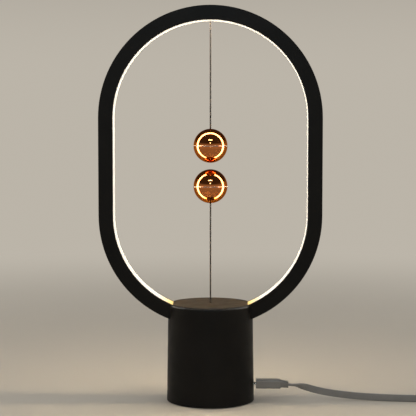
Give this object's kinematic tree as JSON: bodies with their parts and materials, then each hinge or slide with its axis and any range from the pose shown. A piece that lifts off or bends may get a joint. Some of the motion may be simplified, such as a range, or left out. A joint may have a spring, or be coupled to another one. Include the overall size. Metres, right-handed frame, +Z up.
{
  "type": "desk lamp",
  "caption": "Oval ring lamp with an inner light strip on a round base; two magnetic balls on cords switch it when they meet.",
  "frame": {"origin": "middle of the underside of the base, on the table", "axes": "+Z up along the ring, +X the side where the lead leaves, the ring lies in the XZ plane and is looked at from -Y"},
  "size_m": [0.4266, 0.1301, 0.4],
  "materials": {
    "anchor_cord": "braided, dark brown",
    "anchor_plate": "stamped",
    "ballast_weight": "dark, chamfered edge",
    "base_plate": "black moulding",
    "base_plate_screws": "zinc plated",
    "base_shell": "satin black, fine texture",
    "board_components": "black parts",
    "board_screws": "zinc plated",
    "coil_tie": "black tie",
    "control_board": "green circuit board",
    "cover_screws": "zinc plated",
    "deck_screws": "zinc plated",
    "far_plug_overmould": "mid grey",
    "far_plug_relief": "mid grey",
    "far_plug_shell": "nickel plated",
    "frame_deck": "black moulding",
    "guide_cap": "pale moulding",
    "guide_screws": "zinc plated",
    "lead": "mid grey, flat",
    "lead_coil": "mid grey, flat, three turns",
    "lead_tail": "mid grey, flat",
    "led_strip": "white tape",
    "light_diffuser": "opal, lit warm white",
    "lower_ball_bottom_shell": "mirror rose gold plating",
    "lower_ball_magnet": "nickel plated magnet",
    "lower_ball_top_shell": "mirror rose gold plating",
    "lower_cord": "braided, dark brown",
    "lower_cord_bead": "braided, dark brown",
    "micro_switch": "black moulding",
    "micro_switch_screws": "zinc plated",
    "plug_overmould": "mid grey",
    "plug_strain_relief": "mid grey",
    "plug_tip": "nickel plated",
    "pull_cord": "braided, dark brown",
    "pull_plunger": "pale moulding",
    "reflector_channel": "white",
    "return_spring": "spring wire",
    "ring_front_shell": "satin black, fine texture",
    "ring_rear_shell": "satin black, fine texture",
    "ring_screws": "zinc plated",
    "rubber_pad": "matt",
    "socket_tongue": "black",
    "string_eyelet": "satin black",
    "strip_leds": "yellow phosphor",
    "strip_wires": "red and black wires",
    "switch_button": "red moulding",
    "switch_guide": "pale moulding",
    "switch_lever": "stamped",
    "switch_terminals": "tinned",
    "switch_wires": "red and black wires",
    "top_cover": "satin black, fine texture",
    "upper_ball_bottom_shell": "mirror rose gold plating",
    "upper_ball_magnet": "nickel plated magnet",
    "upper_ball_top_shell": "mirror rose gold plating",
    "upper_cord": "braided, dark brown",
    "upper_cord_bead": "braided, dark brown",
    "usb_socket": "nickel plated"
  },
  "bodies": {
    "lamp": {"anchor_cord": "anchor_cord", "anchor_plate": "anchor_plate", "ballast_weight": "ballast_weight", "base_plate": "base_plate", "base_plate_screws": "base_plate_screws", "base_shell": "base_shell", "board_components": "board_components", "board_screws": "board_screws", "control_board": "control_board", "cover_screws": "cover_screws", "deck_screws": "deck_screws", "frame_deck": "frame_deck", "guide_cap": "guide_cap", "guide_screws": "guide_screws", "led_strip": "led_strip", "light_diffuser": "light_diffuser", "micro_switch": "micro_switch", "micro_switch_screws": "micro_switch_screws", "reflector_channel": "reflector_channel", "ring_front_shell": "ring_front_shell", "ring_rear_shell": "ring_rear_shell", "ring_screws": "ring_screws", "rubber_pad": "rubber_pad", "socket_tongue": "socket_tongue", "string_eyelet": "string_eyelet", "strip_leds": "strip_leds", "strip_wires": "strip_wires", "switch_guide": "switch_guide", "switch_terminals": "switch_terminals", "switch_wires": "switch_wires", "top_cover": "top_cover", "usb_socket": "usb_socket"},
    "pull": {"pull_plunger": "pull_plunger", "pull_cord": "pull_cord", "return_spring": "return_spring"},
    "lower_bead": {"lower_cord_bead": "lower_cord_bead"},
    "lower_ball": {"lower_cord": "lower_cord", "lower_ball_top_shell": "lower_ball_top_shell", "lower_ball_bottom_shell": "lower_ball_bottom_shell", "lower_ball_magnet": "lower_ball_magnet"},
    "upper_bead": {"upper_cord_bead": "upper_cord_bead"},
    "upper_ball": {"upper_cord": "upper_cord", "upper_ball_top_shell": "upper_ball_top_shell", "upper_ball_bottom_shell": "upper_ball_bottom_shell", "upper_ball_magnet": "upper_ball_magnet"},
    "lever": {"switch_lever": "switch_lever"},
    "button": {"switch_button": "switch_button"},
    "plug": {"plug_tip": "plug_tip", "plug_overmould": "plug_overmould", "plug_strain_relief": "plug_strain_relief", "lead": "lead", "lead_tail": "lead_tail", "lead_coil": "lead_coil", "coil_tie": "coil_tie", "far_plug_relief": "far_plug_relief", "far_plug_overmould": "far_plug_overmould", "far_plug_shell": "far_plug_shell"}
  },
  "joints": [
    {"name": "cord_pull", "type": "slide", "parent": "lamp", "child": "pull", "axis": [0, 0, 1], "range_m": [-0.004, 0], "stiffness_N_per_m": 120, "springref_m": 0.004, "deforming": ["return_spring"]},
    {"name": "lower_swing", "type": "hinge", "parent": "pull", "child": "lower_bead", "pos_m": [0, 0, 0.10485], "axis": [1, 0, 0], "range_deg": [-85, 85], "stiffness_Nm_per_rad": 0.04},
    {"name": "lower_sway", "type": "hinge", "parent": "lower_bead", "child": "lower_ball", "pos_m": [0, 0, 0.10485], "axis": [0, 1, 0], "range_deg": [-42, 42], "stiffness_Nm_per_rad": 0.04},
    {"name": "upper_swing", "type": "hinge", "parent": "lamp", "child": "upper_bead", "pos_m": [0, 0, 0.38375], "axis": [1, 0, 0], "range_deg": [-80, 80]},
    {"name": "upper_sway", "type": "hinge", "parent": "upper_bead", "child": "upper_ball", "pos_m": [0, 0, 0.38375], "axis": [0, 1, 0], "range_deg": [-38, 38]},
    {"name": "lever_turn", "type": "hinge", "parent": "lamp", "child": "lever", "pos_m": [-0.0255, 0, 0.0368], "axis": [0, 1, 0], "range_deg": [0, 10.5]},
    {"name": "button_press", "type": "slide", "parent": "lamp", "child": "button", "axis": [0, 0, 1], "range_m": [-0.001, 0]},
    {"name": "plug_pull", "type": "slide", "parent": "lamp", "child": "plug", "axis": [1, 0, 0], "range_m": [0, 0.008]}
  ],
  "couplings": [
    {"joint": "lever_turn", "follows": "cord_pull", "rad_per_m": -45},
    {"joint": "button_press", "follows": "cord_pull", "ratio": 0.24}
  ]
}
